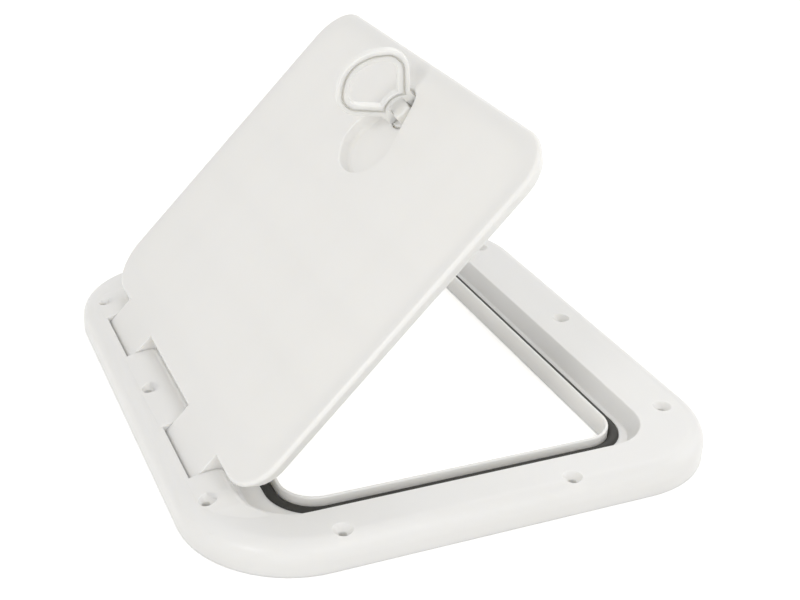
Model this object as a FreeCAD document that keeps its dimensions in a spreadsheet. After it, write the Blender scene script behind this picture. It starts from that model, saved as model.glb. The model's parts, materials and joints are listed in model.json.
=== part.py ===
"""Deck access hatch: a moulded frame, a hinged lid with a sunk lift ring, and a quarter-turn latch.

Frame axes: X runs from the hinge side to the latch side, Y along the hinge, Z up.
The origin is the middle of the frame's footprint, on the face that lies on the deck.
The lid is drawn closed, about its own hinge axis, and its placement opens it.
"""
import FreeCAD, Part
import Sketcher
import math
import os

doc = FreeCAD.newDocument("access_hatch")
sheet = doc.addObject("Spreadsheet::Sheet", "sizes")

# Driving sizes, in millimetres and degrees
SIZES = [
    ("frame_length", 420, "frame, along the hinge"),
    ("frame_width", 375, "frame, hinge side to latch side"),
    ("frame_corner", 75, "outer corner radius of the frame"),
    ("flange_height", 21, "top of the flange above the deck"),
    ("shoulder", 12, "rounding of the flange's outer edge"),
    ("skin", 3, "wall of the mouldings"),
    ("border_front", 48.9, "frame's edge to the lid's seat, latch side"),
    ("border_back", 37.5, "frame's edge to the lid's seat, hinge side"),
    ("border_side", 35.3, "frame's edge to the lid's seat, near and far side"),
    ("recess_corner", 35, "corner radius of the seat's top edge"),
    ("recess_depth", 11.3, "ledge below the flange top"),
    ("recess_slope", 7.2, "how far the seat's wall leans in"),
    ("gasket_width", 8, "groove for the gasket"),
    ("groove_depth", 3.7, "groove below the ledge"),
    ("groove_floor", 2.5, "wall under the groove"),
    ("ledge_front", 11.4, "ledge with the gasket, latch side"),
    ("ledge_back", 21.2, "ledge with the gasket, hinge side"),
    ("ledge_side", 10.5, "ledge with the gasket, near and far side"),
    ("coaming_corner", 25, "outer corner radius of the coaming"),
    ("coaming_wall", 2.5, "coaming wall"),
    ("coaming_drop", 4.8, "coaming's rim below the flange top"),
    ("hinge_inset", 20.5, "frame's edge to the hinge axis"),
    ("hinge_drop", 5, "hinge axis below the flange top"),
    ("barrel_radius", 5, "hinge barrel of the lid"),
    ("hinge_pin_radius", 2, "hinge pin"),
    ("pin_hole_play", 0.05, "running clearance round a pin"),
    ("pin_seat_play", 0.02, "clearance round a pressed pin"),
    ("tab_inset", 58.7, "seat's end to the hinge pocket"),
    ("tab_length", 65, "hinge pocket, along the hinge"),
    ("tab_play", 0.6, "lid tab to pocket, each end"),
    ("barrel_gap", 1.6, "barrel to the pocket's back wall"),
    ("pin_plate", 5, "wall that holds each end of a hinge pin"),
    ("pin_tail", 3, "pin standing through that wall"),
    ("boss_rise", 3.5, "hinge boss above the flange"),
    ("boss_edge", 5, "rounding of the boss's inner edge"),
    ("boss_toe_inset", 3.5, "frame's edge to where the boss grows out of the flange"),
    ("boss_toe_drop", 3.5, "toe of the boss below the flange top"),
    ("boss_setback", 0.6, "boss behind the seat's edge"),
    ("boss_run_inset", 34.7, "end boss at full height, up to here from the seat's end"),
    ("boss_fade_inset", 4.7, "end boss fades into the flange here"),
    ("screw_hole", 5.5, "fixing screw's hole"),
    ("countersink", 13.4, "fixing screw's countersink"),
    ("screw_post", 8, "radius of the post round a fixing hole"),
    ("screw_end_inset", 67, "corner screws from the frame's near and far edge"),
    ("screw_back_inset", 17, "hinge side screws from the frame's edge"),
    ("screw_front_inset", 26.3, "latch side screws from the frame's edge"),
    ("side_screw_inset", 12, "side screws from the frame's near and far edge"),
    ("side_screw_back_inset", 85.5, "side screws from the hinge side's edge"),
    ("side_screw_front_inset", 131, "side screws from the latch side's edge"),
    ("boss_seat_rise", 2.2, "screw seats on the bosses above the flange"),
    ("rib", 2.5, "stiffening rib"),
    ("lid_open", 46.4, "lid's opening angle as it stands"),
    ("lid_gap_front", 2.7, "lid to seat, latch side"),
    ("lid_gap_half", 2.3, "lid to seat, along the hinge"),
    ("lid_gap_back", 2.1, "lid to seat, hinge side"),
    ("lid_corner", 33, "corner radius of the lid"),
    ("lid_height", 10, "depth of the lid's edge"),
    ("lid_slope", 5.5, "how far the lid's edge leans in"),
    ("lid_edge", 2.2, "rounding of the lid's top edge"),
    ("seal_rib", 3, "rib that presses on the gasket"),
    ("seal_gap", 0.3, "that rib above the gasket when closed"),
    ("gasket_rise", 5.5, "height of the gasket"),
    ("gasket_play", 0.2, "gasket to groove, each side"),
    ("gasket_crown", 3.4, "rounding of the gasket's crown"),
    ("lid_rib_gap", 2.5, "lid ribs to the coaming"),
    ("hub_inset", 37.9, "lid's edge to the latch axis"),
    ("ring_turn", -16, "latch's turn as it stands, from fully released"),
    ("ring_lean", 3, "ring's lean as it stands, from upright"),
    ("well_depth", 9.2, "latch recess in the lid"),
    ("well_radius", 15, "recess round the hub"),
    ("well_draft", 1.2, "how far the recess's wall leans in"),
    ("well_floor_edge", 3, "rounding along the recess's floor"),
    ("well_top_edge", 1.4, "rounding of the recess's rim"),
    ("well_wall", 2.5, "wall of the recess"),
    ("hub_pocket", 3, "round pocket in the recess's floor, for the hub's foot"),
    ("hub_pocket_play", 1.4, "hub's foot to the wall of its pocket"),
    ("ring_reach", 55.7, "top of the lift ring above its pin"),
    ("ring_crown", 29, "outer radius along the ring's top"),
    ("ring_corner", 17, "outer corner radius of the ring"),
    ("ring_shoulder", 6.3, "ring corner centres above the crown's centre"),
    ("ring_corner_half", 11.1, "ring corner centres from the middle"),
    ("ring_play", 1.9, "folded ring to the recess"),
    ("ring_thick", 5.5, "thickness of the lift ring"),
    ("ring_band", 8.4, "width of the ring's band"),
    ("ring_bar", 5.6, "width of the bar over the ring's notch"),
    ("ring_rim", 3.2, "ring's outer edge to its channel"),
    ("ring_bar_rim", 2, "ring's notch to its channel"),
    ("ring_channel", 1.7, "width of the ring's channel"),
    ("ring_channel_depth", 3.5, "depth of the ring's channel"),
    ("ring_notch", 10.9, "ring's notch about its pin"),
    ("ring_leg", 6.5, "width of a leg of the ring"),
    ("ring_foot", 7.5, "foot of the ring's head above the pin"),
    ("ring_edge", 0.9, "rounding of the ring's edges"),
    ("ring_drop", 2.25, "folded ring below the lid's face"),
    ("tongue_half", 6, "half width of the hub's tongue"),
    ("tongue_play", 0.5, "ring leg to tongue"),
    ("tongue_radius", 10.2, "ends of the tongue"),
    ("tongue_drop", 0.8, "tongue below the lid's face"),
    ("ring_pin_radius", 1.5, "pin of the lift ring"),
    ("turntable_radius", 12.2, "round foot of the hub"),
    ("turntable_rise", 1.1, "that foot above the recess's floor"),
    ("turntable_edge", 0.8, "bevel of that foot"),
    ("shaft_radius", 7, "shaft of the hub"),
    ("shaft_boss", 12, "boss round the shaft under the lid"),
    ("seal_section", 1.7, "thickness of the shaft's O-ring"),
    ("seal_down", 3.4, "O-ring below the floor of the hub's pocket"),
    ("spring_thick", 0.7, "disc spring"),
    ("spring_rise", 1.1, "disc spring's height"),
    ("stack_play", 0.1, "end play of the latch"),
    ("washer_thick", 1.2, "plain washer"),
    ("washer_radius", 12, "plain washer and disc spring, outside"),
    ("cam_gap", 0.4, "cam under the coaming when locked"),
    ("cam_thick", 4, "cam"),
    ("cam_eye", 11, "radius of the cam's round end"),
    ("cam_reach", 21, "centre of the cam's tip"),
    ("cam_tip", 7, "radius of the cam's tip"),
    ("cam_square", 9, "square end of the shaft"),
    ("cam_square_play", 0.06, "square hole to shaft, each side"),
    ("screw_radius", 2.5, "cam screw's thread"),
    ("screw_head_radius", 4.75, "cam screw's head"),
    ("screw_head_height", 3, "its height"),
    ("screw_key", 3, "its hexagon, across the flats"),
]
for row, (alias, number, meaning) in enumerate(SIZES, start=1):
    sheet.set(f"A{row}", meaning)
    sheet.set(f"B{row}", str(number))
    sheet.setAlias(f"B{row}", alias)
doc.recompute()

# Heights and half sizes that several pieces share, worked out in the sheet
WORKED = [
    ("half_width", "frame_width / 2"),
    ("half_length", "frame_length / 2"),
    ("recess_front", "half_width - border_front"),
    ("recess_back", "half_width - border_back"),
    ("recess_half", "half_length - border_side"),
    ("coaming_front", "recess_front - recess_slope - ledge_front"),
    ("coaming_back", "recess_back - recess_slope - ledge_back"),
    ("coaming_half", "recess_half - recess_slope - ledge_side"),
    ("hinge_back", "half_width - hinge_inset"),
    ("tab_end", "recess_half - tab_inset"),
    ("tab_start", "tab_end - tab_length"),
    ("boss_toe", "half_width - boss_toe_inset"),
    ("boss_run", "recess_half - boss_run_inset"),
    ("boss_fade", "recess_half - boss_fade_inset"),
    ("boss_drill_plane", "flange_height + boss_seat_rise"),
    ("screw_half", "half_length - screw_end_inset"),
    ("screw_back", "half_width - screw_back_inset"),
    ("screw_front", "half_width - screw_front_inset"),
    ("side_screw_half", "half_length - side_screw_inset"),
    ("side_screw_back", "half_width - side_screw_back_inset"),
    ("side_screw_front", "half_width - side_screw_front_inset"),
    ("ledge_level", "flange_height - recess_depth"),
    ("groove_level", "flange_height - recess_depth - groove_depth"),
    ("coaming_level", "flange_height - coaming_drop"),
    ("hinge_level", "flange_height - hinge_drop"),
    ("groove_corner", "coaming_corner + gasket_width"),
    ("lid_top", "hinge_drop"),
    ("lid_rim", "hinge_drop - lid_height"),
    ("lid_front", "hinge_back + recess_front - lid_gap_front"),
    ("lid_back", "hinge_back - recess_back + lid_gap_back"),
    ("lid_half", "recess_half - lid_gap_half"),
    ("gasket_top", "flange_height - recess_depth - groove_depth + gasket_rise"),
    ("hub_out", "lid_front - hub_inset"),
    ("well_floor", "hinge_drop - well_depth"),
    ("hub_floor", "well_floor - hub_pocket"),
    ("hub_pocket_radius", "turntable_radius + hub_pocket_play"),
    ("crown_out", "ring_reach - ring_crown"),
    ("ring_corner_out", "crown_out + ring_shoulder"),
    ("pin_level", "hinge_drop - ring_drop - ring_thick / 2"),
    ("cam_top", "hinge_drop - flange_height - cam_gap"),
    ("boss_foot", "cam_top + washer_thick + spring_rise + stack_play"),
]
first = len(SIZES) + 1
for row, (alias, formula) in enumerate(WORKED, start=first):
    sheet.set(f"A{row}", "worked out")
    sheet.set(f"B{row}", "=" + formula)
    sheet.setAlias(f"B{row}", alias)
    doc.recompute()


def worked(expression):
    """The number that an expression of sheet sizes gives."""
    return float(sheet.evalExpression(str(expression)))


def size(alias):
    """One size of the sheet as a number."""
    return worked("sizes." + alias)


# Helpers that draw bound sketches

TOUCH = 0.01  # levels nearer than this count as one


def new_body(name):
    """A body with its own label, which is the sub-part's name."""
    body = doc.addObject("PartDesign::Body", name)
    body.Label = name
    return body


def new_sketch(body, name, role="XY_Plane", offset="0"):
    """A sketch on one of the body's own planes, moved along the plane's normal."""
    sketch = body.newObject("Sketcher::SketchObject", name)
    plane = [item for item in body.Origin.OriginFeatures if item.Role == role][0]
    sketch.AttachmentSupport = [(plane, "")]
    sketch.MapMode = "FlatFace"
    sketch.setExpression("AttachmentOffset.Base.z", offset)
    return sketch


def bind(sketch, kind, parts, expression):
    """Adds a constraint whose value is an expression of sheet sizes."""
    index = sketch.addConstraint(Sketcher.Constraint(kind, *parts, worked(expression)))
    sketch.setExpression(f"Constraints[{index}]", str(expression))


def pin_point(sketch, geometry, point, x_expression, y_expression):
    """Holds a point of the sketch at two distances from the sketch's origin."""
    bind(sketch, "DistanceX", (-1, 1, geometry, point), x_expression)
    bind(sketch, "DistanceY", (-1, 1, geometry, point), y_expression)


def circle(sketch, x_expression, y_expression, radius):
    """A full circle."""
    centre = FreeCAD.Vector(worked(x_expression), worked(y_expression), 0)
    shape = Part.Circle(centre, FreeCAD.Vector(0, 0, 1), worked(radius))
    index = sketch.addGeometry(shape)
    pin_point(sketch, index, 3, x_expression, y_expression)
    bind(sketch, "Radius", (index,), radius)


def polygon(sketch, corners):
    """A closed outline of straight lines through the given corners."""
    spots = [FreeCAD.Vector(worked(x), worked(y), 0) for x, y in corners]
    lines = []
    for number, spot in enumerate(spots):
        following = spots[(number + 1) % len(spots)]
        lines.append(sketch.addGeometry(Part.LineSegment(spot, following)))
    for number, line in enumerate(lines):
        following = lines[(number + 1) % len(lines)]
        sketch.addConstraint(Sketcher.Constraint("Coincident", line, 2, following, 1))
        pin_point(sketch, line, 1, *corners[number])


def rectangle(sketch, low_x, high_x, low_y, high_y):
    """A rectangle between four expressions."""
    polygon(sketch, [(low_x, low_y), (high_x, low_y), (high_x, high_y), (low_x, high_y)])


def belt(sketch, discs):
    """The outline of a belt round discs, given anticlockwise as (x, y, radius)."""
    spots = [(worked(x), worked(y), worked(r)) for x, y, r in discs]
    count = len(spots)
    directions = []
    for number, (x, y, r) in enumerate(spots):
        next_x, next_y, next_r = spots[(number + 1) % count]
        run = math.hypot(next_x - x, next_y - y)
        heading = math.atan2(next_y - y, next_x - x)
        directions.append(heading - math.pi / 2 + math.asin((r - next_r) / run))
    arcs = []
    for number, (x, y, r) in enumerate(spots):
        start = directions[number - 1]
        stop = start + (directions[number] - start) % (2 * math.pi)
        rim = Part.Circle(FreeCAD.Vector(x, y, 0), FreeCAD.Vector(0, 0, 1), r)
        arcs.append(sketch.addGeometry(Part.ArcOfCircle(rim, start, stop)))
    for number in range(count):
        following = (number + 1) % count
        x, y, r = spots[number]
        next_x, next_y, next_r = spots[following]
        toward = FreeCAD.Vector(math.cos(directions[number]), math.sin(directions[number]), 0)
        begin = FreeCAD.Vector(x, y, 0) + toward * r
        end = FreeCAD.Vector(next_x, next_y, 0) + toward * next_r
        line = sketch.addGeometry(Part.LineSegment(begin, end))
        sketch.addConstraint(Sketcher.Constraint("Tangent", arcs[number], 2, line, 1))
        sketch.addConstraint(Sketcher.Constraint("Tangent", line, 2, arcs[following], 1))
    for arc, (x, y, r) in zip(arcs, discs):
        pin_point(sketch, arc, 3, x, y)
        bind(sketch, "Radius", (arc,), r)


def rounded(sketch, back, front, half, corner):
    """A rectangle with round corners from x = back to x = front, and half each way in y."""
    low = f"{back} + {corner}"
    high = f"{front} - ({corner})"
    side = f"{half} - ({corner})"
    belt(sketch, [
        (high, f"-({side})", corner),
        (high, side, corner),
        (low, side, corner),
        (low, f"-({side})", corner),
    ])


def pad(body, name, sketch, length, midplane=False, reverse=False):
    """A pad of a sketch along its normal."""
    feature = body.newObject("PartDesign::Pad", name)
    feature.Profile = sketch
    feature.setExpression("Length", length)
    feature.Midplane = midplane
    feature.Reversed = reverse
    doc.recompute()
    return feature


def pocket(body, name, sketch, length, midplane=False, reverse=False):
    """A pocket; plain it cuts against the sketch's normal. It must take material away."""
    before = body.Shape.Volume
    feature = body.newObject("PartDesign::Pocket", name)
    feature.Profile = sketch
    feature.setExpression("Length", length)
    feature.Midplane = midplane
    feature.Reversed = reverse
    doc.recompute()
    check_cut(body, name, before)
    return feature


def check_cut(body, name, before):
    """A cut that points away from the solid shows no error, so its volume is compared."""
    if body.Shape.Volume > before - 0.1:
        raise RuntimeError(f"{name} removed nothing")


def loft(body, name, sketches, cut=False):
    """A loft through sketches, added to the body or cut from it."""
    before = body.Shape.Volume if cut else 0
    kind = "PartDesign::SubtractiveLoft" if cut else "PartDesign::AdditiveLoft"
    feature = body.newObject(kind, name)
    feature.Profile = sketches[0]
    feature.Sections = sketches[1:]
    feature.Ruled = True
    doc.recompute()
    if cut:
        check_cut(body, name, before)
    return feature


def fillet(body, name, radius, chosen):
    """Rounds the edges of the body's last feature that the test chooses."""
    base = body.Tip
    names = [f"Edge{n}" for n, edge in enumerate(base.Shape.Edges, start=1) if chosen(edge)]
    if not names:
        raise RuntimeError(f"{name} found no edge")
    feature = body.newObject("PartDesign::Fillet", name)
    feature.Base = (base, names)
    feature.setExpression("Radius", radius)
    doc.recompute()
    return feature


def level(edge, height, slack=TOUCH):
    """True for an edge that lies at one height."""
    box = edge.BoundBox
    return abs(box.ZMin - height) < slack and abs(box.ZMax - height) < slack


# Frame: the outside of the moulding

frame_shell = new_body("frame_shell")
plan = new_sketch(frame_shell, "frame_plan")
rounded(plan, "-sizes.half_width", "sizes.half_width", "sizes.half_length", "sizes.frame_corner")
pad(frame_shell, "frame_block", plan, "sizes.flange_height")
fillet(frame_shell, "frame_shoulder", "sizes.shoulder",
       lambda edge: level(edge, size("flange_height")))


def boss_section(name, station, shift="0", toe_shift="0", rise="sizes.boss_rise"):
    """Section of a hinge boss: a long back that rises from the flange and a round inner edge."""
    sketch = new_sketch(frame_shell, name, "XZ_Plane", f"-({station})")
    inner = f"-(sizes.recess_back + sizes.boss_setback) + ({shift})"
    crown = f"sizes.flange_height + {rise}"
    toe_level = "sizes.flange_height - sizes.boss_toe_drop"
    foot = "sizes.flange_height - 2 * sizes.boss_toe_drop"
    edge = worked("sizes.boss_edge")
    x_in = worked(inner)
    z_top = worked(crown)
    toe_x = f"-sizes.boss_toe + ({toe_shift})"
    toe = FreeCAD.Vector(worked(toe_x), worked(toe_level), 0)
    run = x_in - edge - toe.x
    drop = z_top - toe.y
    back_radius = (run * run + drop * drop) / (2 * drop)
    axis = FreeCAD.Vector(0, 0, 1)
    small = Part.Circle(FreeCAD.Vector(x_in - edge, z_top - edge, 0), axis, edge)
    large = Part.Circle(FreeCAD.Vector(x_in - edge, z_top - back_radius, 0), axis, back_radius)
    end_angle = math.atan2(toe.y - (z_top - back_radius), toe.x - (x_in - edge))
    low_in = FreeCAD.Vector(x_in, worked(foot), 0)
    low_out = FreeCAD.Vector(toe.x, worked(foot), 0)
    bottom = sketch.addGeometry(Part.LineSegment(low_out, low_in))
    side = sketch.addGeometry(Part.LineSegment(low_in, FreeCAD.Vector(x_in, z_top - edge, 0)))
    nose = sketch.addGeometry(Part.ArcOfCircle(small, 0, math.pi / 2))
    back = sketch.addGeometry(Part.ArcOfCircle(large, math.pi / 2, end_angle))
    heel = sketch.addGeometry(Part.LineSegment(toe, low_out))
    sketch.addConstraint(Sketcher.Constraint("Coincident", bottom, 2, side, 1))
    sketch.addConstraint(Sketcher.Constraint("Tangent", side, 2, nose, 1))
    sketch.addConstraint(Sketcher.Constraint("Tangent", nose, 2, back, 1))
    sketch.addConstraint(Sketcher.Constraint("Coincident", back, 2, heel, 1))
    sketch.addConstraint(Sketcher.Constraint("Coincident", heel, 2, bottom, 1))
    sketch.addConstraint(Sketcher.Constraint("Vertical", side))
    pin_point(sketch, side, 1, inner, foot)
    pin_point(sketch, heel, 1, toe_x, toe_level)
    pin_point(sketch, heel, 2, toe_x, foot)
    bind(sketch, "DistanceY", (-1, 1, nose, 2), crown)
    bind(sketch, "Radius", (nose,), "sizes.boss_edge")
    return sketch


middle = boss_section("middle_boss_section", "0")
pad(frame_shell, "middle_boss", middle, "2 * sizes.tab_start", midplane=True)



def bend(corner, reach):
    """How far an outline has turned in, at a reach past the start of its round corner."""
    return f"({corner} - sqrt({corner} ^ 2 - ({reach}) ^ 2))"


def boss_turn(station):
    """How far the seat's corner and the frame's corner have turned in at a station."""
    seat_reach = f"{station} - sizes.recess_half + sizes.recess_corner"
    frame_reach = f"{station} - sizes.half_length + sizes.frame_corner"
    return bend("sizes.recess_corner", seat_reach), bend("sizes.frame_corner", frame_reach)


for side, sign in (("far", 1), ("near", -1)):
    falling = "(sizes.boss_run + sizes.boss_fade) / 2"
    one = boss_section(f"{side}_boss_start", f"{sign} * sizes.tab_end")
    two = boss_section(f"{side}_boss_full", f"{sign} * sizes.boss_run")
    loft(frame_shell, f"{side}_boss", [one, two])
    two = boss_section(f"{side}_boss_from", f"{sign} * sizes.boss_run")
    three = boss_section(f"{side}_boss_falling", f"{sign} * {falling}", *boss_turn(falling),
                         "0.6 * sizes.boss_rise")
    loft(frame_shell, f"{side}_boss_fade", [two, three])
    three = boss_section(f"{side}_boss_fall", f"{sign} * {falling}", *boss_turn(falling),
                         "0.6 * sizes.boss_rise")
    four = boss_section(f"{side}_boss_end", f"{sign} * sizes.boss_fade",
                        *boss_turn("sizes.boss_fade"), "0")
    loft(frame_shell, f"{side}_boss_tail", [three, four])

# Frame: seat of the lid, hinge pockets, groove, coaming and opening

ledge = new_sketch(frame_shell, "seat_ledge", offset="sizes.ledge_level")
rounded(ledge, "-(sizes.recess_back - sizes.recess_slope)",
        "sizes.recess_front - sizes.recess_slope",
        "sizes.recess_half - sizes.recess_slope",
        "sizes.recess_corner - sizes.recess_slope")
rim = new_sketch(frame_shell, "seat_rim", offset="sizes.flange_height")
rounded(rim, "-sizes.recess_back", "sizes.recess_front", "sizes.recess_half",
        "sizes.recess_corner")
loft(frame_shell, "seat", [ledge, rim], cut=True)

pockets = new_sketch(frame_shell, "hinge_pockets",
                     offset="sizes.flange_height + 2 * sizes.boss_rise")
pocket_back = "-(sizes.hinge_back + sizes.barrel_radius + sizes.barrel_gap)"
pocket_front = "-(sizes.recess_back - sizes.recess_slope)"
rectangle(pockets, pocket_back, pocket_front, "sizes.tab_start", "sizes.tab_end")
rectangle(pockets, pocket_back, pocket_front, "-sizes.tab_end", "-sizes.tab_start")
pocket(frame_shell, "hinge_pocket_cut", pockets, "2 * sizes.boss_rise + sizes.recess_depth")


def opening(sketch, back, front, half, corner, grow):
    """An outline that follows the coaming, grown by an expression."""
    rounded(sketch, f"-({back} + {grow})", f"{front} + {grow}", f"{half} + {grow}",
            f"{corner} + {grow}")


COAMING = ("sizes.coaming_back", "sizes.coaming_front", "sizes.coaming_half",
           "sizes.coaming_corner")
wall = new_sketch(frame_shell, "coaming_plan", offset="sizes.ledge_level")
opening(wall, *COAMING, "0")
opening(wall, *COAMING, "(-sizes.coaming_wall)")
pad(frame_shell, "coaming", wall, "sizes.coaming_level - sizes.ledge_level")
groove = new_sketch(frame_shell, "groove_plan", offset="sizes.ledge_level")
opening(groove, *COAMING, "sizes.gasket_width")
opening(groove, *COAMING, "0")
pocket(frame_shell, "gasket_groove", groove, "sizes.groove_depth")
hatchway = new_sketch(frame_shell, "hatchway_plan", offset="sizes.flange_height")
opening(hatchway, *COAMING, "(-sizes.coaming_wall)")
pocket(frame_shell, "hatchway", hatchway, "2 * sizes.flange_height")
fillet(frame_shell, "coaming_lip", "0.45 * sizes.coaming_wall",
       lambda edge: level(edge, size("coaming_level")))
rim_half = size("recess_half")
fillet(frame_shell, "seat_rim_edge", "0.4 * sizes.boss_rise",
       lambda edge: level(edge, size("flange_height"))
       and edge.BoundBox.XMax > -size("recess_back") + size("recess_corner")
       and abs(edge.BoundBox.Center.y) < rim_half + 0.1)
fillet(frame_shell, "ledge_edge", "0.4 * sizes.boss_rise",
       lambda edge: level(edge, size("ledge_level"))
       and edge.BoundBox.XMax > size("recess_front") - size("recess_slope") - 0.1)


def cut_holes(name, height, spots):
    """Countersunk holes for the fixing screws."""
    sketch = new_sketch(frame_shell, name + "_spots", offset=height)
    for x, y in spots:
        circle(sketch, x, y, "sizes.screw_hole / 2")
    doc.recompute()
    hole = frame_shell.newObject("PartDesign::Hole", name)
    hole.Profile = sketch
    hole.Threaded = False
    hole.DepthType = "ThroughAll"
    hole.HoleCutType = "Countersink"
    hole.setExpression("Diameter", "sizes.screw_hole")
    hole.setExpression("HoleCutDiameter", "sizes.countersink")
    hole.HoleCutCountersinkAngle = 90
    doc.recompute()


BOSS_SCREWS = [("-sizes.screw_back", y) for y in ("-sizes.screw_half", "0", "sizes.screw_half")]
FLANGE_SCREWS = [("sizes.screw_front", y) for y in ("-sizes.screw_half", "0", "sizes.screw_half")]
for x in ("-sizes.side_screw_back", "sizes.side_screw_front"):
    for y in ("-sizes.side_screw_half", "sizes.side_screw_half"):
        FLANGE_SCREWS.append((x, y))
cut_holes("flange_holes", "sizes.flange_height", FLANGE_SCREWS)
cut_holes("boss_holes", "sizes.boss_drill_plane", BOSS_SCREWS)

pin_start = "sizes.tab_start - sizes.pin_plate - sizes.pin_tail"
pin_length = "sizes.tab_end - sizes.tab_start + 2 * (sizes.pin_plate + sizes.pin_tail)"
for side, offset in (("far", f"-({pin_start} + {pin_length})"), ("near", pin_start)):
    bore = new_sketch(frame_shell, f"{side}_pin_seat", "XZ_Plane", offset)
    circle(bore, "-sizes.hinge_back", "sizes.hinge_level",
           "sizes.hinge_pin_radius + sizes.pin_seat_play")
    pocket(frame_shell, f"{side}_pin_hole", bore, pin_length, reverse=True)

# Frame: the hollows under the flange, left between ribs, posts and walls

cores = new_body("frame_cores")
core_plan = new_sketch(cores, "core_plan", offset="-sizes.rib")
rounded(core_plan, "-(sizes.half_width - sizes.skin)", "sizes.half_width - sizes.skin",
        "sizes.half_length - sizes.skin", "sizes.frame_corner - sizes.skin")
pad(cores, "core_block", core_plan, "sizes.flange_height - sizes.skin + sizes.rib")
fillet(cores, "core_shoulder", "sizes.shoulder - sizes.skin",
       lambda edge: level(edge, size("flange_height") - size("skin")))
under = new_sketch(cores, "core_under_groove", offset="sizes.groove_level - sizes.groove_floor")
opening(under, *COAMING, "0")
pocket(cores, "core_below", under, "sizes.flange_height")
tub = new_sketch(cores, "core_tub", offset="sizes.ledge_level")
rounded(tub, "-(sizes.recess_back - sizes.recess_slope + sizes.skin)",
        "sizes.recess_front - sizes.recess_slope + sizes.skin",
        "sizes.recess_half - sizes.recess_slope + sizes.skin",
        "sizes.recess_corner - sizes.recess_slope + sizes.skin")
pocket(cores, "core_middle", tub,
       "sizes.ledge_level - sizes.groove_level + sizes.groove_floor")
tub_low = new_sketch(cores, "core_wall_foot", offset="sizes.ledge_level")
rounded(tub_low, "-(sizes.recess_back - sizes.recess_slope + sizes.skin)",
        "sizes.recess_front - sizes.recess_slope + sizes.skin",
        "sizes.recess_half - sizes.recess_slope + sizes.skin",
        "sizes.recess_corner - sizes.recess_slope + sizes.skin")
tub_high = new_sketch(cores, "core_wall_head", offset="sizes.flange_height")
rounded(tub_high, "-(sizes.recess_back + sizes.skin)", "sizes.recess_front + sizes.skin",
        "sizes.recess_half + sizes.skin", "sizes.recess_corner + sizes.skin")
loft(cores, "core_wall", [tub_low, tub_high], cut=True)

blocks = new_sketch(cores, "core_hinge_blocks", offset="sizes.ledge_level - sizes.skin")
block_back = "-(sizes.hinge_back + sizes.barrel_radius + sizes.barrel_gap + sizes.skin)"
block_front = "-(sizes.recess_back - sizes.recess_slope)"
rectangle(blocks, block_back, block_front, "sizes.tab_start - sizes.pin_plate",
          "sizes.tab_end + sizes.pin_plate")
rectangle(blocks, block_back, block_front, "-(sizes.tab_end + sizes.pin_plate)",
          "-(sizes.tab_start - sizes.pin_plate)")
pocket(cores, "core_hinge_cut", blocks, "sizes.flange_height", reverse=True)

posts = new_sketch(cores, "core_posts", offset="sizes.flange_height")
for x, y in BOSS_SCREWS + FLANGE_SCREWS:
    circle(posts, x, y, "sizes.screw_post")
pocket(cores, "core_post_cut", posts, "2 * sizes.flange_height")

ribs = new_sketch(cores, "core_ribs", offset="sizes.flange_height")
for place in (-0.45, -0.15, 0.15, 0.45):
    middle_x = f"{place} * sizes.frame_width"
    rectangle(ribs, f"{middle_x} - sizes.rib / 2", f"{middle_x} + sizes.rib / 2",
              "sizes.coaming_half + sizes.rib", "sizes.half_length")
    rectangle(ribs, f"{middle_x} - sizes.rib / 2", f"{middle_x} + sizes.rib / 2",
              "-sizes.half_length", "-(sizes.coaming_half + sizes.rib)")
pocket(cores, "core_rib_cut", ribs, "2 * sizes.flange_height")
ribs = new_sketch(cores, "core_cross_ribs", offset="sizes.flange_height")
for place in (-0.225, -0.075, 0.075, 0.225):
    middle_y = f"{place} * sizes.frame_length"
    for low, high in (("sizes.coaming_front + sizes.rib", "sizes.half_width"),
                      ("-sizes.half_width", "-(sizes.coaming_back + sizes.rib)")):
        rectangle(ribs, low, high, f"{middle_y} - sizes.rib / 2", f"{middle_y} + sizes.rib / 2")
pocket(cores, "core_cross_rib_cut", ribs, "2 * sizes.flange_height")

frame = doc.addObject("Part::Cut", "frame")
frame.Base = frame_shell
frame.Tool = cores
frame.Label = "frame"
doc.recompute()

# Gasket in its groove

gasket = new_body("gasket")
loop = new_sketch(gasket, "gasket_plan", offset="sizes.groove_level")
opening(loop, *COAMING, "(sizes.gasket_width - sizes.gasket_play)")
opening(loop, *COAMING, "sizes.gasket_play")
pad(gasket, "gasket_strip", loop, "sizes.gasket_rise")
fillet(gasket, "gasket_crown", "sizes.gasket_crown",
       lambda edge: level(edge, size("gasket_top")))

# Hinge pins, pressed into the frame

for side, start in (("far", pin_start), ("near", f"-({pin_start} + {pin_length})")):
    pin = new_body(f"hinge_pin_{side}")
    section = new_sketch(pin, f"{side}_pin_section", "XY_Plane")
    bevel = "0.2 * sizes.hinge_pin_radius"
    radius = "sizes.hinge_pin_radius"
    polygon(section, [
        ("0", "0"),
        (f"{radius} - {bevel}", "0"),
        (radius, bevel),
        (radius, f"{pin_length} - {bevel}"),
        (f"{radius} - {bevel}", pin_length),
        ("0", pin_length),
    ])
    turned = pin.newObject("PartDesign::Revolution", f"{side}_pin_turned")
    turned.Profile = section
    turned.ReferenceAxis = (section, ["V_Axis"])
    turned.Angle = 360
    pin.setExpression("Placement", "placement(vector(-sizes.hinge_back; "
                      f"{start}; sizes.hinge_level); rotation(vector(0; 0; 1); 0))")

# Lid, drawn closed about the hinge axis

LID_PLACE = ("placement(vector(-sizes.hinge_back; 0; sizes.hinge_level); "
             "rotation(vector(0; -1; 0); sizes.lid_open))")
lid = new_body("lid")
lid.setExpression("Placement", LID_PLACE)


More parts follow.
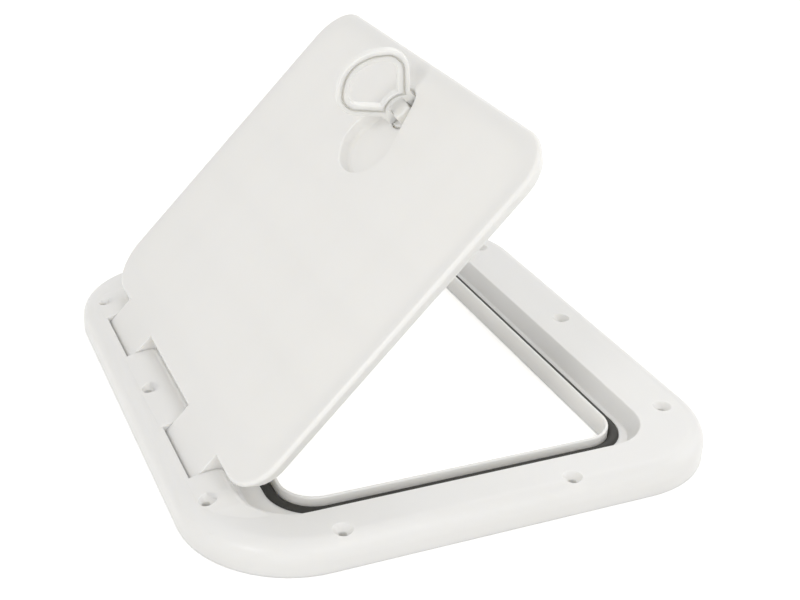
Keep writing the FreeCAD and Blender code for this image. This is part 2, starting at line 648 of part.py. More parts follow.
def lid_outline(name, height, inset):
    """The lid's outline, drawn in from its top edge."""
    sketch = new_sketch(lid, name, offset=height)
    rounded(sketch, f"sizes.lid_back + {inset}", f"sizes.lid_front - ({inset})",
            f"sizes.lid_half - ({inset})", f"sizes.lid_corner - ({inset})")
    return sketch


slope = "sizes.lid_slope"
lower = lid_outline("lid_lower", "sizes.lid_rim", slope)
upper = lid_outline("lid_upper", "sizes.lid_top", "0")
loft(lid, "lid_block", [lower, upper])

tab_width = "sizes.tab_end - sizes.tab_start - 2 * sizes.tab_play"
for side, offset in (("far", "-(sizes.tab_end - sizes.tab_play)"),
                     ("near", "sizes.tab_start + sizes.tab_play")):
    tab = new_sketch(lid, f"{side}_tab_section", "XZ_Plane", offset)
    radius = size("barrel_radius")
    barrel = Part.Circle(FreeCAD.Vector(0, 0, 0), FreeCAD.Vector(0, 0, 1), radius)
    high = FreeCAD.Vector(worked("sizes.lid_back + sizes.skin / 2"), radius, 0)
    low = FreeCAD.Vector(worked("sizes.lid_back + sizes.lid_slope + sizes.skin / 2"), -radius, 0)
    round_end = tab.addGeometry(Part.ArcOfCircle(barrel, math.pi / 2, 3 * math.pi / 2))
    under_line = tab.addGeometry(Part.LineSegment(FreeCAD.Vector(0, -radius, 0), low))
    root = tab.addGeometry(Part.LineSegment(low, high))
    over_line = tab.addGeometry(Part.LineSegment(high, FreeCAD.Vector(0, radius, 0)))
    tab.addConstraint(Sketcher.Constraint("Tangent", round_end, 2, under_line, 1))
    tab.addConstraint(Sketcher.Constraint("Coincident", under_line, 2, root, 1))
    tab.addConstraint(Sketcher.Constraint("Coincident", root, 2, over_line, 1))
    tab.addConstraint(Sketcher.Constraint("Tangent", over_line, 2, round_end, 1))
    pin_point(tab, round_end, 3, "0", "0")
    bind(tab, "Radius", (round_end,), "sizes.barrel_radius")
    pin_point(tab, root, 1, "sizes.lid_back + sizes.lid_slope + sizes.skin / 2",
              "-sizes.barrel_radius")
    pin_point(tab, root, 2, "sizes.lid_back + sizes.skin / 2", "sizes.barrel_radius")
    pad(lid, f"{side}_tab", tab, tab_width)

top_level = size("lid_top")
fillet(lid, "lid_edge", "sizes.lid_edge",
       lambda edge: level(edge, top_level) and edge.BoundBox.XMin > size("lid_back") / 2)

inner_low = lid_outline("lid_inner_low", "sizes.lid_rim", "(sizes.lid_slope + sizes.skin)")
inner_high = lid_outline("lid_inner_high", "sizes.lid_top - sizes.skin",
                         "(sizes.skin * (1 + sizes.lid_slope / sizes.lid_height))")
loft(lid, "lid_hollow", [inner_low, inner_high], cut=True)


def lid_opening(sketch, grow):
    """An outline that follows the coaming, in the lid's own axes."""
    rounded(sketch, f"sizes.hinge_back - sizes.coaming_back - ({grow})",
            f"sizes.hinge_back + sizes.coaming_front + {grow}",
            f"sizes.coaming_half + {grow}", f"sizes.coaming_corner + {grow}")


rib_foot = "sizes.gasket_top + sizes.seal_gap - sizes.hinge_level"
rib_plan = new_sketch(lid, "seal_rib_plan", offset=rib_foot)
lid_opening(rib_plan, "(sizes.gasket_width + sizes.seal_rib) / 2")
lid_opening(rib_plan, "(sizes.gasket_width - sizes.seal_rib) / 2")
pad(lid, "seal_rib", rib_plan, f"sizes.lid_top - sizes.skin / 2 - ({rib_foot})")

grid = new_sketch(lid, "lid_rib_plan", offset="sizes.lid_rim")
inner = "(sizes.coaming_wall + sizes.lid_rib_gap)"
rib_back = f"sizes.hinge_back - sizes.coaming_back + {inner}"
rib_front = f"sizes.hinge_back + sizes.coaming_front - {inner}"
rib_half = f"sizes.coaming_half - {inner}"
for place in (-0.68, -0.36, 0.36, 0.68):
    middle_y = f"{place} * sizes.coaming_half"
    rectangle(grid, rib_back, rib_front, f"{middle_y} - sizes.rib / 2",
              f"{middle_y} + sizes.rib / 2")
pad(lid, "lid_long_ribs", grid, "sizes.lid_height - sizes.skin / 2")
grid = new_sketch(lid, "lid_cross_plan", offset="sizes.lid_rim")
for place in (-0.6, -0.2, 0.2):
    middle_x = f"sizes.hinge_back + {place} * sizes.coaming_front"
    rectangle(grid, f"{middle_x} - sizes.rib / 2", f"{middle_x} + sizes.rib / 2",
              f"-({rib_half})", rib_half)
pad(lid, "lid_cross_ribs", grid, "sizes.lid_height - sizes.skin / 2")


def well_discs(grow):
    """The latch recess: a round well at the hub that opens into a lobe for the folded ring."""
    corner = f"sizes.ring_corner + sizes.ring_play + {grow}"
    crown = f"sizes.ring_crown + sizes.ring_play + {grow}"
    lobe = "sizes.hub_out - sizes.ring_corner_out"
    return [
        ("sizes.hub_out", "0", f"sizes.well_radius + {grow}"),
        (lobe, "sizes.ring_corner_half", corner),
        ("sizes.hub_out - sizes.crown_out", "0", crown),
        (lobe, "-sizes.ring_corner_half", corner),
    ]


well = new_sketch(lid, "well_outside", offset="sizes.well_floor - sizes.well_wall")
belt(well, well_discs("(sizes.well_wall - sizes.well_draft)"))
pad(lid, "well_tub", well, "sizes.well_depth + sizes.well_wall - sizes.skin / 2")
cup = new_sketch(lid, "hub_cup_plan", offset="sizes.hub_floor - sizes.well_wall")
circle(cup, "sizes.hub_out", "0", "sizes.hub_pocket_radius + sizes.well_wall")
pad(lid, "hub_cup", cup, "sizes.hub_pocket + sizes.well_wall / 2")
boss = new_sketch(lid, "shaft_boss_plan", offset="sizes.boss_foot")
circle(boss, "sizes.hub_out", "0", "sizes.shaft_boss")
pad(lid, "shaft_boss_pad", boss, "sizes.hub_floor - sizes.boss_foot - sizes.well_wall / 2")
well_low = new_sketch(lid, "well_low", offset="sizes.well_floor")
belt(well_low, well_discs("(-sizes.well_draft)"))
well_high = new_sketch(lid, "well_high", offset="sizes.lid_top")
belt(well_high, well_discs("0"))
loft(lid, "well_cut", [well_low, well_high], cut=True)


def in_well(edge):
    """True for an edge of the latch recess."""
    start = worked("sizes.hub_out - sizes.ring_reach - 2 * sizes.ring_play")
    end = worked("sizes.hub_out + sizes.well_radius + sizes.well_top_edge")
    return edge.BoundBox.XMin > start and edge.BoundBox.XMax < end


floor_level = size("well_floor")
fillet(lid, "well_floor_round", "sizes.well_floor_edge",
       lambda edge: level(edge, floor_level) and in_well(edge))
fillet(lid, "well_rim_round", "sizes.well_top_edge",
       lambda edge: level(edge, top_level) and in_well(edge))
hub_pocket = new_sketch(lid, "hub_pocket_plan", offset="sizes.lid_top")
circle(hub_pocket, "sizes.hub_out", "0", "sizes.hub_pocket_radius")
pocket(lid, "hub_pocket_cut", hub_pocket, "sizes.well_depth + sizes.hub_pocket")
shaft_bore = new_sketch(lid, "shaft_bore_plan", offset="sizes.lid_top")
circle(shaft_bore, "sizes.hub_out", "0", "sizes.shaft_radius + sizes.pin_hole_play")
pocket(lid, "shaft_bore", shaft_bore, "3 * sizes.well_depth")
barrel_bore = new_sketch(lid, "barrel_bore_plan", "XZ_Plane")
circle(barrel_bore, "0", "0", "sizes.hinge_pin_radius + sizes.pin_hole_play")
pocket(lid, "barrel_bore", barrel_bore, "2 * sizes.tab_end", midplane=True)

# Hub: one turned shaft with a round foot and the tongue that carries the ring

HUB_PLACE = ("lid.Placement * placement(vector(sizes.hub_out; 0; 0); "
             "rotation(vector(0; 0; 1); sizes.ring_turn))")
hub = new_body("latch_hub")
hub.setExpression("Placement", HUB_PLACE)
section = new_sketch(hub, "hub_section", "XZ_Plane")
seal_low = "sizes.hub_floor - sizes.seal_down - 0.6 * sizes.seal_section"
seal_high = "sizes.hub_floor - sizes.seal_down + 0.6 * sizes.seal_section"
seal_seat = "sizes.shaft_radius - sizes.seal_section"
foot_top = "sizes.well_floor + sizes.turntable_rise"
polygon(section, [
    ("0", "sizes.cam_top"),
    ("sizes.shaft_radius", "sizes.cam_top"),
    ("sizes.shaft_radius", seal_low),
    (seal_seat, seal_low),
    (seal_seat, seal_high),
    ("sizes.shaft_radius", seal_high),
    ("sizes.shaft_radius", "sizes.hub_floor"),
    ("sizes.turntable_radius", "sizes.hub_floor"),
    ("sizes.turntable_radius", f"{foot_top} - sizes.turntable_edge"),
    ("sizes.turntable_radius - sizes.turntable_edge", foot_top),
    ("0", foot_top),
])
turned = hub.newObject("PartDesign::Revolution", "hub_turned")
turned.Profile = section
turned.ReferenceAxis = (section, ["V_Axis"])
turned.Angle = 360
doc.recompute()
crown = new_sketch(hub, "tongue_plan", offset=foot_top)
circle(crown, "0", "0", "sizes.tongue_radius")
tongue_top = "sizes.lid_top - sizes.tongue_drop"
pad(hub, "tongue_disc", crown, f"{tongue_top} - ({foot_top})")
tongue_level = worked(tongue_top)
fillet(hub, "tongue_round", "2 * sizes.tongue_drop", lambda edge: level(edge, tongue_level))
flats = new_sketch(hub, "tongue_flats", offset="sizes.lid_top")
for low, high in (("sizes.tongue_half", "2 * sizes.tongue_radius"),
                  ("-2 * sizes.tongue_radius", "-sizes.tongue_half")):
    rectangle(flats, low, high, "-sizes.tongue_radius", "sizes.tongue_radius")
pocket(hub, "tongue_flat_cut", flats, f"sizes.lid_top - ({foot_top})")
cross = new_sketch(hub, "ring_pin_hole_plan", "YZ_Plane")
circle(cross, "0", "sizes.pin_level", "sizes.ring_pin_radius + sizes.pin_seat_play")
pocket(hub, "ring_pin_hole", cross, "4 * sizes.tongue_half", midplane=True)
square = new_sketch(hub, "square_plan", offset="sizes.cam_top")
half_square = "sizes.cam_square / 2"
rectangle(square, f"-{half_square}", half_square, f"-{half_square}", half_square)
pad(hub, "square_end", square, "0.95 * sizes.cam_thick", reverse=True)
tapped = new_sketch(hub, "tapped_plan", offset="sizes.cam_top - sizes.cam_thick")
circle(tapped, "0", "0", "sizes.screw_radius + sizes.pin_seat_play")
pocket(hub, "tapped_hole", tapped, "3 * sizes.cam_thick", reverse=True)

# O-ring on the shaft

o_ring = doc.addObject("Part::Torus", "hub_o_ring")
o_ring.Label = "hub_o_ring"
o_ring.setExpression("Radius1", "sizes.shaft_radius - sizes.seal_section / 2")
o_ring.setExpression("Radius2", "sizes.seal_section / 2")
o_ring.setExpression("Placement", "lid.Placement * placement(vector(sizes.hub_out; 0; "
                     "sizes.hub_floor - sizes.seal_down); rotation(vector(0; 0; 1); 0))")

# Lift ring, drawn upright about its pin

PIN_PLACE = ("lid.Placement * placement(vector(sizes.hub_out; 0; sizes.pin_level); "
             "rotation(vector(0; 0; 1); sizes.ring_turn))")
RING_PLACE = (PIN_PLACE + " * placement(vector(0; 0; 0); "
              "rotation(vector(1; 0; 0); sizes.ring_lean))")
ring = new_body("lift_ring")
ring.setExpression("Placement", RING_PLACE)
leg_in = "(sizes.tongue_half + sizes.tongue_play)"
leg_out = f"({leg_in} + sizes.ring_leg)"
toe = "sizes.ring_edge"
head = new_sketch(ring, "ring_head_plan", "XZ_Plane")
belt(head, [
    ("sizes.ring_corner_half", "sizes.ring_corner_out", "sizes.ring_corner"),
    ("0", "sizes.crown_out", "sizes.ring_crown"),
    ("-sizes.ring_corner_half", "sizes.ring_corner_out", "sizes.ring_corner"),
    (f"-({leg_out} - {toe})", f"sizes.ring_foot + {toe}", toe),
    (f"{leg_out} - {toe}", f"sizes.ring_foot + {toe}", toe),
])
pad(ring, "ring_head", head, "sizes.ring_thick", midplane=True)
fillet(ring, "ring_head_round", "sizes.ring_edge",
       lambda edge: edge.BoundBox.YLength < TOUCH)
notch = new_sketch(ring, "ring_notch_plan", "XZ_Plane")
circle(notch, "0", "0", "sizes.ring_notch")
pocket(ring, "ring_notch_cut", notch, "2 * sizes.ring_thick", midplane=True)
legs = new_sketch(ring, "ring_leg_plan", "XZ_Plane")
leg_top = "sizes.ring_foot + sizes.ring_rim"
rectangle(legs, leg_in, leg_out, "-sizes.ring_thick / 2", leg_top)
rectangle(legs, f"-{leg_out}", f"-{leg_in}", "-sizes.ring_thick / 2", leg_top)
pad(ring, "ring_legs", legs, "sizes.ring_thick", midplane=True)
leg_foot = -size("ring_thick") / 2
fillet(ring, "ring_leg_round", "0.49 * sizes.ring_thick",
       lambda edge: level(edge, leg_foot)
       and abs(abs(edge.BoundBox.Center.y) - size("ring_thick") / 2) < 0.01)
outer_leg = worked(leg_out)
fillet(ring, "ring_leg_edges", "0.9 * sizes.ring_edge",
       lambda edge: edge.BoundBox.XLength < TOUCH and edge.BoundBox.YLength < TOUCH
       and abs(abs(edge.BoundBox.Center.x) - outer_leg) < TOUCH)


def ring_loop(sketch, inset, bar_inset):
    """A closed line at one distance inside the ring's outline and another above its notch."""
    corner = worked(f"sizes.ring_corner - {inset}")
    crown = worked(f"sizes.ring_crown - {inset}")
    swing = worked(f"sizes.ring_notch + {bar_inset}")
    half = size("ring_corner_half")
    out = size("ring_corner_out")
    top = size("crown_out")
    foot_x = worked(f"{leg_out} - {toe}")
    foot_y = worked(f"sizes.ring_foot + {toe}")
    run = math.hypot(half - foot_x, out - foot_y)
    heading = math.atan2(out - foot_y, half - foot_x)
    low = heading - math.pi / 2 + math.asin((size("ring_edge") - size("ring_corner")) / run)
    run = math.hypot(half, out - top)
    heading = math.atan2(top - out, -half)
    high = heading - math.pi / 2 + math.asin((corner - crown) / run)
    high = high % (2 * math.pi)
    reach = math.cos(low) * half + math.sin(low) * out + corner
    step = math.sqrt(swing * swing - reach * reach)
    meet_x = math.cos(low) * reach - math.sin(low) * step
    meet_y = math.sin(low) * reach + math.cos(low) * step
    start = math.atan2(meet_y, meet_x)
    axis = FreeCAD.Vector(0, 0, 1)

    def spot(x, y, radius, angle):
        return FreeCAD.Vector(x + radius * math.cos(angle), y + radius * math.sin(angle), 0)

    def arc(x, y, radius, begin, end):
        rim = Part.Circle(FreeCAD.Vector(x, y, 0), axis, radius)
        return sketch.addGeometry(Part.ArcOfCircle(rim, begin, end))

    right = arc(half, out, corner, low, high)
    over = arc(0, top, crown, high, math.pi - high)
    left = arc(-half, out, corner, math.pi - high, math.pi - low)
    arch = arc(0, 0, swing, start, math.pi - start)
    lines = []
    for begin, end in (
        (spot(half, out, corner, high), spot(0, top, crown, high)),
        (spot(0, top, crown, math.pi - high), spot(-half, out, corner, math.pi - high)),
        (spot(-half, out, corner, math.pi - low), FreeCAD.Vector(-meet_x, meet_y, 0)),
        (FreeCAD.Vector(meet_x, meet_y, 0), spot(half, out, corner, low)),
    ):
        lines.append(sketch.addGeometry(Part.LineSegment(begin, end)))
    ties = [
        ("Tangent", right, 2, lines[0], 1),
        ("Tangent", lines[0], 2, over, 1),
        ("Tangent", over, 2, lines[1], 1),
        ("Tangent", lines[1], 2, left, 1),
        ("Tangent", left, 2, lines[2], 1),
        ("Coincident", lines[2], 2, arch, 2),
        ("Coincident", arch, 1, lines[3], 1),
        ("Tangent", lines[3], 2, right, 1),
    ]
    for kind, *parts in ties:
        sketch.addConstraint(Sketcher.Constraint(kind, *parts))
    for item, x, y, radius in (
        (right, "sizes.ring_corner_half", "sizes.ring_corner_out",
         f"sizes.ring_corner - {inset}"),
        (over, "0", "sizes.crown_out", f"sizes.ring_crown - {inset}"),
        (left, "-sizes.ring_corner_half", "sizes.ring_corner_out",
         f"sizes.ring_corner - {inset}"),
        (arch, "0", "0", f"sizes.ring_notch + {bar_inset}"),
    ):
        pin_point(sketch, item, 3, x, y)
        bind(sketch, "Radius", (item,), radius)
    lean = low + math.pi / 2
    sketch.addConstraint(Sketcher.Constraint("Angle", lines[3], lean))
    sketch.addConstraint(Sketcher.Constraint("Angle", lines[2], -lean))


eye = new_sketch(ring, "ring_eye_plan", "XZ_Plane")
ring_loop(eye, "sizes.ring_band", "sizes.ring_bar")
pocket(ring, "ring_eye", eye, "2 * sizes.ring_thick", midplane=True)
eye_top = worked("sizes.ring_reach - sizes.ring_band + sizes.ring_edge / 2")
eye_foot = worked("sizes.ring_notch + sizes.ring_bar / 2")
eye_half = worked("sizes.ring_corner_half + sizes.ring_corner - sizes.ring_band / 2")
fillet(ring, "ring_eye_round", "sizes.ring_edge",
       lambda edge: edge.BoundBox.YLength < TOUCH
       and eye_foot < edge.BoundBox.ZMax < eye_top
       and max(-edge.BoundBox.XMin, edge.BoundBox.XMax) < eye_half)
channel = new_sketch(ring, "ring_channel_plan", "XZ_Plane", "sizes.ring_thick / 2")
ring_loop(channel, "sizes.ring_rim", "sizes.ring_bar_rim")
ring_loop(channel, "(sizes.ring_rim + sizes.ring_channel)",
          "(sizes.ring_bar_rim + sizes.ring_channel)")
pocket(ring, "ring_channel_cut", channel, "sizes.ring_channel_depth")
leg_bore = new_sketch(ring, "ring_bore_plan", "YZ_Plane")
circle(leg_bore, "0", "0", "sizes.ring_pin_radius + sizes.pin_hole_play")
pocket(ring, "ring_bore", leg_bore, f"4 * {leg_out}", midplane=True)

# Pin of the lift ring

ring_pin = doc.addObject("Part::Cylinder", "ring_pin")
ring_pin.Label = "ring_pin"
ring_pin.setExpression("Radius", "sizes.ring_pin_radius")
ring_pin.setExpression("Height", f"2 * ({leg_out} - sizes.ring_edge / 2)")
ring_pin.setExpression("Placement", PIN_PLACE + " * placement(vector(-ring_pin.Height / 2; 0; 0); "
                       "rotation(vector(0; 1; 0); 90))")

# Latch pieces under the lid, stacked on the shaft


def turned_ring(name, corners, place=HUB_PLACE):
    """A body turned about the latch axis from a section of radius and height."""
    body = new_body(name)
    body.setExpression("Placement", place)
    profile = new_sketch(body, name + "_section", "XZ_Plane")
    polygon(profile, corners)
    feature = body.newObject("PartDesign::Revolution", name + "_turned")
    feature.Profile = profile
    feature.ReferenceAxis = (profile, ["V_Axis"])
    feature.Angle = 360
    doc.recompute()
    return body


washer_hole = "sizes.shaft_radius + 3 * sizes.pin_hole_play"
spring_top = "sizes.boss_foot"
spring_low = f"{spring_top} - sizes.spring_rise"
turned_ring("disc_spring", [
    (washer_hole, spring_top),
    (washer_hole, f"{spring_top} - sizes.spring_thick"),
    ("sizes.washer_radius", spring_low),
    ("sizes.washer_radius", f"{spring_low} + sizes.spring_thick"),
])
washer_top = spring_low
turned_ring("thrust_washer", [
    (washer_hole, f"{washer_top} - sizes.washer_thick"),
    ("sizes.washer_radius", f"{washer_top} - sizes.washer_thick"),
    ("sizes.washer_radius", washer_top),
    (washer_hole, washer_top),
])

cam = new_body("latch_cam")
cam.setExpression("Placement", HUB_PLACE)
cam_low = "sizes.cam_top - sizes.cam_thick"
arm = new_sketch(cam, "cam_plan", offset=cam_low)
belt(arm, [
    ("0", "0", "sizes.cam_eye"),
    ("0", "sizes.cam_reach", "sizes.cam_tip"),
])
pad(cam, "cam_arm", arm, "sizes.cam_thick")
square_hole = new_sketch(cam, "cam_square_plan", offset=cam_low)
half_hole = "(sizes.cam_square / 2 + sizes.cam_square_play)"
rectangle(square_hole, f"-{half_hole}", half_hole, f"-{half_hole}", half_hole)
pocket(cam, "cam_square_cut", square_hole, "2 * sizes.cam_thick", reverse=True)
cam_edge_level = worked(cam_low)
fillet(cam, "cam_round", "0.3 * sizes.cam_thick",
       lambda edge: level(edge, cam_edge_level)
       and edge.BoundBox.DiagonalLength > 1.6 * size("cam_square"))

turned_ring("screw_washer", [
    ("1.1 * sizes.screw_radius", f"{cam_low} - 0.8 * sizes.washer_thick"),
    ("1.3 * sizes.screw_head_radius", f"{cam_low} - 0.8 * sizes.washer_thick"),
    ("1.3 * sizes.screw_head_radius", cam_low),
    ("1.1 * sizes.screw_radius", cam_low),
])
head_top = f"{cam_low} - 0.8 * sizes.washer_thick"
head_low = f"{head_top} - sizes.screw_head_height"
screw = turned_ring("cam_screw", [
    ("0", head_low),
    ("0.6 * sizes.screw_head_radius", head_low),
    ("sizes.screw_head_radius", f"{head_low} + 0.5 * sizes.screw_head_height"),
    ("sizes.screw_head_radius", head_top),
    ("sizes.screw_radius", head_top),
    ("sizes.screw_radius", "sizes.cam_top + sizes.cam_thick"),
    ("0", "sizes.cam_top + sizes.cam_thick"),
])
key = new_sketch(screw, "screw_key_plan", offset=head_low)
corners = []
for step in range(6):
    turn = f"{60 * step}"
    corners.append((f"sizes.screw_key / sqrt(3) * cos({turn})",
                    f"sizes.screw_key / sqrt(3) * sin({turn})"))
polygon(key, corners)
pocket(screw, "screw_key_cut", key, "0.6 * sizes.screw_head_height", reverse=True)

# Checks and export

doc.recompute()
NODES = ["frame", "gasket", "hinge_pin_near", "hinge_pin_far", "lid", "latch_hub", "hub_o_ring",
         "lift_ring", "ring_pin", "disc_spring", "thrust_washer", "latch_cam", "screw_washer",
         "cam_screw"]
for item in doc.Objects:
    if "Invalid" in item.State or "Error" in item.State:
        raise RuntimeError(f"{item.Name} failed: {item.State}")
for node in NODES:
    shape = doc.getObject(node).Shape
    if shape.isNull() or not shape.isValid() or not shape.Solids:
        raise RuntimeError(f"{node} has no sound solid")
    print(node, len(shape.Solids), round(shape.Volume), shape.BoundBox)
os.makedirs("parts", exist_ok=True)
for node in NODES:
    doc.getObject(node).Shape.exportStep(f"parts/{node}.step")
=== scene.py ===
# %% [markdown]
# A deck access hatch, moulded in white plastic, stands half open. This lesson takes the exact solids
# of the frame, the lid and the latch as they come, and gives them the finishes of the real ones:
# moulded plastic with a faint skin, soft black rubber, turned stainless steel and black nylon.
# Everything is in metres, in the axes of the solids: X to the latch side, Y along the hinge, Z up.

# %% Load the hatch
import json
import math

import bpy
from mathutils import Matrix, Vector


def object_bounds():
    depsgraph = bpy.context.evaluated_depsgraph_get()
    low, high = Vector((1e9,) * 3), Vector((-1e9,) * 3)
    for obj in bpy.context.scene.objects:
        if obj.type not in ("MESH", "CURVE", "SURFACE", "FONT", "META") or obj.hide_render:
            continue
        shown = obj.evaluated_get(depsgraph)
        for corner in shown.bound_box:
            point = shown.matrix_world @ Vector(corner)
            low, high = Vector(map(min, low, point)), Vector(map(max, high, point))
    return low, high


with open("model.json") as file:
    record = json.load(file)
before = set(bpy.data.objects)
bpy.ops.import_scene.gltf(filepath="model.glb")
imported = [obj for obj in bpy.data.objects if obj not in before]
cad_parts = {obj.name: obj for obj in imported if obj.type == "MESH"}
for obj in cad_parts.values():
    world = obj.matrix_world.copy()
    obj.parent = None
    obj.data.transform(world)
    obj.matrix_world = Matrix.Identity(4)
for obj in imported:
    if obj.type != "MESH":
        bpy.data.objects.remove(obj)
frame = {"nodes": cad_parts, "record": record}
cad_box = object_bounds()
nodes = frame["nodes"]
print("pieces of the hatch:", sorted(nodes))

# %% [markdown]
# The solids arrive with one flat shade per facet. A moulded part has round edges that catch one
# long highlight, so the facets are shaded as one surface wherever they meet at a shallow angle,
# and stay crisp where two faces meet at a real corner.

# %% Shade the round surfaces smooth
CREASE = math.radians(32)


def shade_round(piece):
    """Shades a piece smooth, apart from its real corners."""
    mesh = piece.data
    if mesh.has_custom_normals:
        bpy.context.view_layer.objects.active = piece
        bpy.ops.mesh.customdata_custom_splitnormals_clear()
    mesh.shade_smooth()
    mesh.set_sharp_from_angle(angle=CREASE)


for piece in nodes.values():
    shade_round(piece)
print("shaded", len(nodes), "pieces")

# %% [markdown]
# Two short helpers keep the material cells readable: one adds a node with its inputs filled in,
# the other starts a material with nothing in it but the surface shader and the output.

# %% Helpers for shader nodes


def add_node(tree, kind, place, **inputs):
    """Adds one shader node and fills in inputs by name, with spaces written as underscores."""
    node = tree.nodes.new(kind)
    node.location = place
    for name, value in inputs.items():
        node.inputs[name.replace("_", " ")].default_value = value
    return node


def srgb(red, green, blue):
    """A colour that is read off a screen in 0 to 255, as the linear colour that a shader wants."""
    linear = []
    for channel in (red, green, blue):
        c = channel / 255
        linear.append(c / 12.92 if c <= 0.04045 else ((c + 0.055) / 1.055) ** 2.4)
    return (*linear, 1.0)


def start_material(name, **shader_inputs):
    """A material with a surface shader, and its tree, shader and texture coordinates."""
    material = bpy.data.materials.new(name)
    material.use_nodes = True
    tree = material.node_tree
    tree.nodes.clear()
    output = add_node(tree, "ShaderNodeOutputMaterial", (600, 0))
    shader = add_node(tree, "ShaderNodeBsdfPrincipled", (300, 0), **shader_inputs)
    tree.links.new(shader.outputs["BSDF"], output.inputs["Surface"])
    place = add_node(tree, "ShaderNodeTexCoord", (-900, 0))
    return material, tree, shader, place


# %% [markdown]
# Moulded plastic is never a mirror. The steel of the mould leaves a very fine, low ripple, the gloss
# changes a little from place to place, and the white drifts by a hair where the melt flowed. All the
# plastic pieces share these three effects, so they are one group: it puts out a colour, a roughness
# and a height, and each material sets its own amounts.

# %% A shared group: the skin of moulded plastic
DRIFT_SIZE = 9.0
GLOSS_SIZE = 35.0


def new_group(name, inputs, outputs):
    """An empty shader group with named sockets, each given as (name, type, default)."""
    group = bpy.data.node_groups.new(name, "ShaderNodeTree")
    for label, kind, default in inputs:
        socket = group.interface.new_socket(name=label, in_out="INPUT", socket_type=kind)
        if default is not None:
            socket.default_value = default
    for label, kind in outputs:
        group.interface.new_socket(name=label, in_out="OUTPUT", socket_type=kind)
    return group, group.nodes.new("NodeGroupInput"), group.nodes.new("NodeGroupOutput")


def moulded_skin():
    """Colour, roughness and height of a moulded surface, from its place in metres."""
    group, given, result = new_group(
        "moulded skin",
        [
            ("Place", "NodeSocketVector", None),
            ("Colour", "NodeSocketColor", (0.8, 0.8, 0.8, 1)),
            ("Drift colour", "NodeSocketColor", (0.7, 0.7, 0.7, 1)),
            ("Roughness", "NodeSocketFloat", 0.3),
            ("Roughness spread", "NodeSocketFloat", 0.05),
            ("Ripple size", "NodeSocketFloat", 400.0),
        ],
        [
            ("Colour", "NodeSocketColor"),
            ("Roughness", "NodeSocketFloat"),
            ("Height", "NodeSocketFloat"),
        ],
    )
    link = group.links.new
    drift = add_node(group, "ShaderNodeTexNoise", (-400, 200), Scale=DRIFT_SIZE, Detail=3.0)
    blend = add_node(group, "ShaderNodeMix", (0, 200))
    blend.data_type = "RGBA"
    link(given.outputs["Place"], drift.inputs["Vector"])
    link(drift.outputs["Fac"], blend.inputs["Factor"])
    link(given.outputs["Colour"], blend.inputs["A"])
    link(given.outputs["Drift colour"], blend.inputs["B"])
    link(blend.outputs["Result"], result.inputs["Colour"])
    patch = add_node(group, "ShaderNodeTexNoise", (-400, 0), Scale=GLOSS_SIZE, Detail=4.0)
    centred = add_node(group, "ShaderNodeMath", (-200, 0))
    centred.operation = "SUBTRACT"
    centred.inputs[1].default_value = 0.5
    spread = add_node(group, "ShaderNodeMath", (0, 0))
    spread.operation = "MULTIPLY_ADD"
    link(given.outputs["Place"], patch.inputs["Vector"])
    link(patch.outputs["Fac"], centred.inputs[0])
    link(centred.outputs["Value"], spread.inputs[0])
    link(given.outputs["Roughness spread"], spread.inputs[1])
    link(given.outputs["Roughness"], spread.inputs[2])
    link(spread.outputs["Value"], result.inputs["Roughness"])
    ripple = add_node(group, "ShaderNodeTexNoise", (-400, -200), Detail=2.0)
    link(given.outputs["Place"], ripple.inputs["Vector"])
    link(given.outputs["Ripple size"], ripple.inputs["Scale"])
    link(ripple.outputs["Fac"], result.inputs["Height"])
    return group


SKIN = moulded_skin()
print("group:", SKIN.name)

# %% [markdown]
# The frame and the lid are one white plastic, the hub and the lift ring a slightly milkier one,
# and the cam is black nylon. One function makes all three: the skin group feeds the colour, the
# roughness and a very weak bump, and the surface shader stays here, in the material. Light goes a
# few millimetres into white plastic before it comes out again, which softens the edges of grooves
# and of shadows. The shader's subsurface values stand for that.

# %% White plastic and black nylon
MILKY_TINT = (1.0, 0.97, 0.9)


def plastic(name, colour, drift, roughness, spread, ripple, depth, milky=0.0, milky_depth=0.004):
    """A moulded plastic. Ripple is how fine its ripple is, depth the ripple's height in metres,
    milky the share of light that goes in, and milky_depth how far it goes, in metres."""
    material, tree, shader, place = start_material(
        name, IOR=1.5, Subsurface_Weight=milky, Subsurface_Scale=milky_depth,
        Subsurface_Radius=MILKY_TINT)
    skin = add_node(tree, "ShaderNodeGroup", (-500, 0))
    skin.node_tree = SKIN
    skin.inputs["Colour"].default_value = colour
    skin.inputs["Drift colour"].default_value = drift
    skin.inputs["Roughness"].default_value = roughness
    skin.inputs["Roughness spread"].default_value = spread
    skin.inputs["Ripple size"].default_value = ripple
    bump = add_node(tree, "ShaderNodeBump", (0, -200), Strength=1.0, Distance=depth)
    link = tree.links.new
    link(place.outputs["Object"], skin.inputs["Place"])
    link(skin.outputs["Colour"], shader.inputs["Base Color"])
    link(skin.outputs["Roughness"], shader.inputs["Roughness"])
    link(skin.outputs["Height"], bump.inputs["Height"])
    link(bump.outputs["Normal"], shader.inputs["Normal"])
    return material


white_moulding = plastic("hatch_white", srgb(238, 237, 235), srgb(235, 234, 231),
                         roughness=0.30, spread=0.10, ripple=260.0, depth=0.00002, milky=0.85)
white_hub = plastic("latch_white", srgb(239, 238, 234), srgb(236, 235, 231),
                    roughness=0.30, spread=0.08, ripple=320.0, depth=0.00002, milky=1.0,
                    milky_depth=0.006)
black_nylon = plastic("cam_nylon", srgb(38, 38, 40), srgb(48, 48, 50),
                      roughness=0.42, spread=0.15, ripple=900.0, depth=0.00005)
print("plastics:", white_moulding.name, white_hub.name, black_nylon.name)

# %% [markdown]
# The gasket is foam-soft rubber. It is nearly black, dull, and a little dusty, with fine pores that
# show as a soft grain. The O-ring on the latch's shaft is the same rubber, so one material does both.

